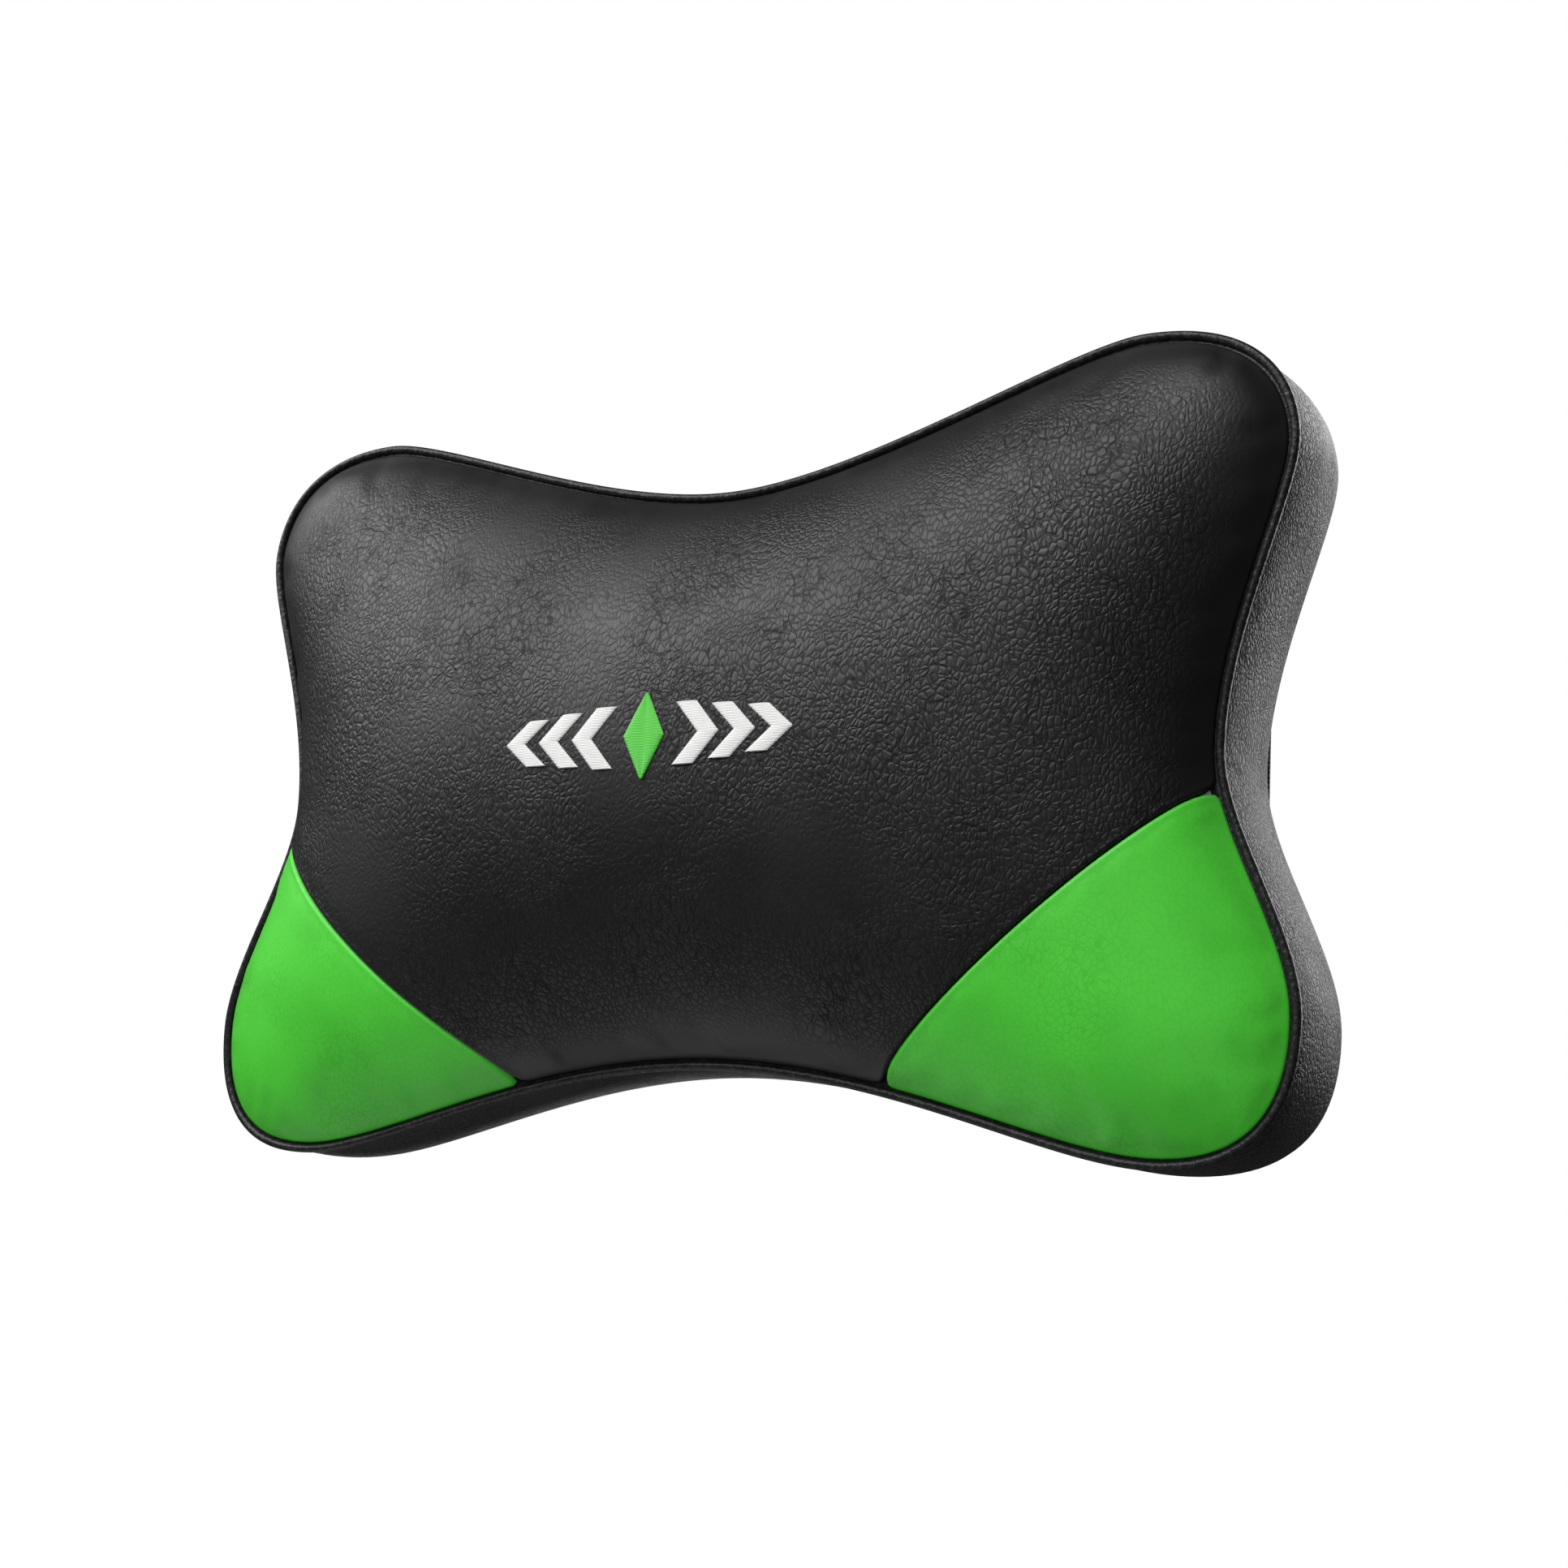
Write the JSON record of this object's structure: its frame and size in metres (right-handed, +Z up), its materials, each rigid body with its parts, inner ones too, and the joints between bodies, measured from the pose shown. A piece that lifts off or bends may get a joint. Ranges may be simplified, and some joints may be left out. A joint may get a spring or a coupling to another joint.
{
  "type": "chair headrest cushion",
  "caption": "Butterfly-shaped leather headrest cushion with piped front seam, contrast lower corners, zipped back and an adjustable elastic strap with a side-release buckle.",
  "frame": {"origin": "on the cushion's back face, where it lies on the backrest, level with the middle of the cover's outline and on its centre line", "axes": "+X across the cushion's width, to the right as seen from the front; +Y backwards out of the back face, towards the chair; +Z up"},
  "size_m": [0.3224, 0.0862, 0.2034],
  "materials": {
    "foam": "open-cell moulded foam",
    "liner_cloth": "thin knitted liner",
    "black_leather": "creased synthetic leather, satin",
    "green_leather": "smooth synthetic leather, satin",
    "piping_leather": "synthetic leather rolled round a cord",
    "gusset_leather": "fine-grained synthetic leather, satin",
    "back_leather": "fine-grained synthetic leather, satin",
    "zip_tape": "woven tape",
    "zip_coil": "moulded teeth",
    "zip_metal": "black enamel on zinc",
    "elastic_webbing": "ribbed woven elastic",
    "black_thread": "twisted thread",
    "buckle_plastic": "moulded acetal, fine spark texture",
    "white_thread": "satin-stitch embroidery",
    "green_thread": "satin-stitch embroidery"
  },
  "bodies": {
    "root": {"foam_core": "foam", "liner_front": "liner_cloth", "liner_back": "liner_cloth", "front_panel": "black_leather", "corner_panel_left": "green_leather", "corner_panel_right": "green_leather", "front_piping": "piping_leather", "gusset": "gusset_leather", "back_panel_upper": "back_leather", "back_panel_lower": "back_leather", "zip_tape_upper": "zip_tape", "zip_tape_lower": "zip_tape", "zip_teeth_upper": "zip_coil", "zip_teeth_lower": "zip_coil", "zip_end_stops": "zip_metal", "strap_left": "elastic_webbing", "strap_right": "elastic_webbing", "anchor_stitches": "black_thread", "buckle_socket": "buckle_plastic", "emblem_white": "white_thread", "emblem_green": "green_thread"},
    "slider": {"zip_slider": "zip_metal"},
    "pull": {"zip_pull": "zip_metal"},
    "plug": {"buckle_plug": "buckle_plastic", "buckle_arms": "buckle_plastic"},
    "keeper": {"strap_keeper": "buckle_plastic"}
  },
  "joints": [
    {"name": "zip_slide", "type": "slide", "parent": "root", "child": "slider", "axis": [-1, 0, 0], "range_m": [0, 0.168], "deforming": ["zip_teeth_upper", "zip_teeth_lower", "zip_tape_upper", "zip_tape_lower"]},
    {"name": "pull_flip", "type": "hinge", "parent": "slider", "child": "pull", "pos_m": [0.089, 0.0025, -0.042], "axis": [0, 0, -1], "range_deg": [0, 170]},
    {"name": "buckle_release", "type": "slide", "parent": "root", "child": "plug", "axis": [1, 0, 0], "range_m": [0, 0.026], "deforming": ["strap_right", "buckle_arms"]},
    {"name": "keeper_slide", "type": "slide", "parent": "root", "child": "keeper", "axis": [1, 0, 0], "range_m": [0, 0.014]}
  ]
}
